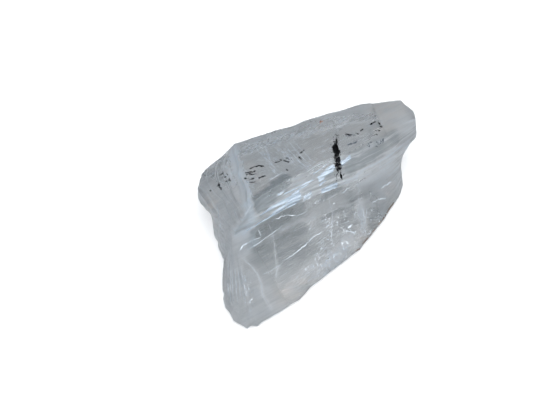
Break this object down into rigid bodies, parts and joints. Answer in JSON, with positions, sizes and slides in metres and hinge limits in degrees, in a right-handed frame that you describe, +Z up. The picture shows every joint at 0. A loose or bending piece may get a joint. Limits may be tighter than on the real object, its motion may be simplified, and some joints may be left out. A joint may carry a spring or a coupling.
{
  "type": "selenite crystal blade",
  "caption": "Natural selenite crystal lying flat: a thick clear rib with a fin that thins to a knife edge and a layered broken end.",
  "frame": {"origin": "middle of the crystal's box, on the flat cleavage face that it lies on", "axes": "+X along the thick rib, from the layered broken end to the blunt end; +Y away from the thin fin; +Z up"},
  "size_m": [0.1202, 0.0746, 0.0265],
  "materials": {
    "selenite": "pale grey see-through selenite, silky on the cleavages, milky along the broken end"
  },
  "bodies": {
    "root": {"crystal_blade": "selenite"}
  },
  "joints": []
}
